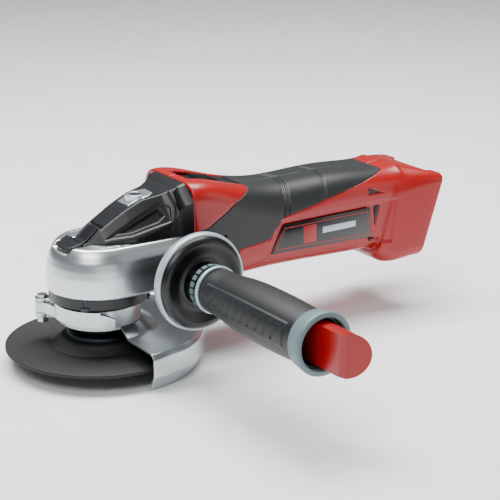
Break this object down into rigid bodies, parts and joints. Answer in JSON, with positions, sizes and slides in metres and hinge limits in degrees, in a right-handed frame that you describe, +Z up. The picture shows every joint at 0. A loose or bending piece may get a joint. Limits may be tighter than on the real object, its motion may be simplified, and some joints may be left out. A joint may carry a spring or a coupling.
{
  "type": "angle grinder",
  "caption": "Cordless angle grinder with a red and black body, die-cast gear head, half guard, grinding disc and a side handle that stores a pin spanner.",
  "frame": {"origin": "spindle axis at the spindle end face", "axes": "+Z up the spindle towards the gear head, +X back along the body to the battery foot, -Y towards the fitted side handle"},
  "size_m": [0.2985, 0.2637, 0.1076],
  "materials": {
    "cast_head": "satin die-cast metal",
    "black_cover": "fine-textured moulding",
    "red_housing": "semi-gloss moulding",
    "soft_grip": "matt soft-touch overmould",
    "badge_plastic": "gloss plate",
    "bright_steel": "brushed",
    "zinc_steel": "zinc plated",
    "dark_steel": "blackened",
    "abrasive": "resin-bonded abrasive",
    "grey_plastic": "matt moulding",
    "bright_plastic": "satin silver lacquer",
    "handle_black": "moulded",
    "spanner_red": "moulded",
    "copper": "enamelled winding wire",
    "magnet": "sintered",
    "core_steel": "laminated",
    "bearing_steel": "ground",
    "board_green": "fibreglass laminate",
    "contact_brass": "plated",
    "fan_plastic": "moulded",
    "carbon": "pressed carbon",
    "felt": "felt",
    "bronze": "sintered bronze"
  },
  "bodies": {
    "housing": {"gear_housing": "cast_head", "gear_cover": "black_cover", "top_boss_plate": "cast_head", "bearing_flange": "black_cover", "bearing_flange_screws": "zinc_steel", "gear_head_screws": "zinc_steel", "spindle_bush": "bronze", "felt_seal": "felt", "motor_housing_left": "red_housing", "motor_housing_right": "red_housing", "housing_screws": "dark_steel", "grip_pad_left": "soft_grip", "grip_pad_right": "soft_grip", "side_badges": "badge_plastic", "fan_baffle": "fan_plastic", "stator_can": "zinc_steel", "stator_magnets": "magnet", "brush_holders": "contact_brass", "carbon_brushes": "carbon", "brush_springs": "zinc_steel", "switch_body": "black_cover", "control_board": "board_green", "terminal_block": "black_cover", "terminal_blades": "contact_brass", "spindle_bearing_outer": "bearing_steel", "rotor_bearing_outer_races": "bearing_steel", "lock_spring": "zinc_steel", "handle_stud": "zinc_steel", "handle_core": "grey_plastic", "handle_flange": "handle_black", "handle_flange_rim": "bright_plastic", "handle_sleeve": "soft_grip", "handle_end_ring": "grey_plastic"},
    "output_spindle": {"spindle": "bright_steel", "crown_gear": "dark_steel", "inner_flange": "dark_steel", "grinding_disc": "abrasive", "disc_bush": "zinc_steel", "clamp_nut": "dark_steel", "spindle_bearing_inner": "bearing_steel", "spindle_bearing_balls": "bearing_steel"},
    "rotor": {"rotor_shaft": "bright_steel", "rotor_core": "core_steel", "rotor_windings": "copper", "commutator": "copper", "cooling_fan": "fan_plastic", "pinion_gear": "dark_steel", "rotor_bearing_inner_races": "bearing_steel", "rotor_bearing_balls": "bearing_steel"},
    "guard": {"guard_shell": "zinc_steel", "guard_band": "dark_steel", "guard_clamp_screw": "zinc_steel"},
    "clamp_lever": {"guard_lever": "zinc_steel"},
    "spindle_lock": {"lock_button": "black_cover", "lock_pin": "bright_steel"},
    "switch_slide": {"slide_button": "black_cover", "slide_link": "fan_plastic"},
    "pin_spanner": {"spanner_handle": "spanner_red", "spanner_blade": "zinc_steel"}
  },
  "joints": [
    {"name": "spindle_spin", "type": "hinge", "parent": "housing", "child": "output_spindle", "pos_m": [0, 0, 0.03], "axis": [0, 0, 1], "continuous": true},
    {"name": "rotor_spin", "type": "hinge", "parent": "housing", "child": "rotor", "pos_m": [0.1, 0, 0.0585], "axis": [1, 0, 0], "continuous": true},
    {"name": "guard_swivel", "type": "hinge", "parent": "housing", "child": "guard", "pos_m": [0, 0, 0.02], "axis": [0, 0, 1], "range_deg": [-75, 45]},
    {"name": "lever_open", "type": "hinge", "parent": "guard", "child": "clamp_lever", "pos_m": [-0.02681, 0.0225, 0.023], "axis": [0, 0, -1], "range_deg": [0, 95]},
    {"name": "lock_press", "type": "slide", "parent": "housing", "child": "spindle_lock", "axis": [0, 0, -1], "range_m": [0, 0.003], "stiffness_N_per_m": 600, "springref_m": -0.004, "deforming": ["lock_spring"]},
    {"name": "switch_slide_on", "type": "slide", "parent": "housing", "child": "switch_slide", "axis": [-0.9826, 0, 0.1857], "range_m": [0, 0.006]},
    {"name": "spanner_pull", "type": "slide", "parent": "housing", "child": "pin_spanner", "axis": [0, -1, 0], "range_m": [0, 0.085]}
  ],
  "couplings": [
    {"joint": "rotor_spin", "follows": "spindle_spin", "ratio": 3}
  ]
}
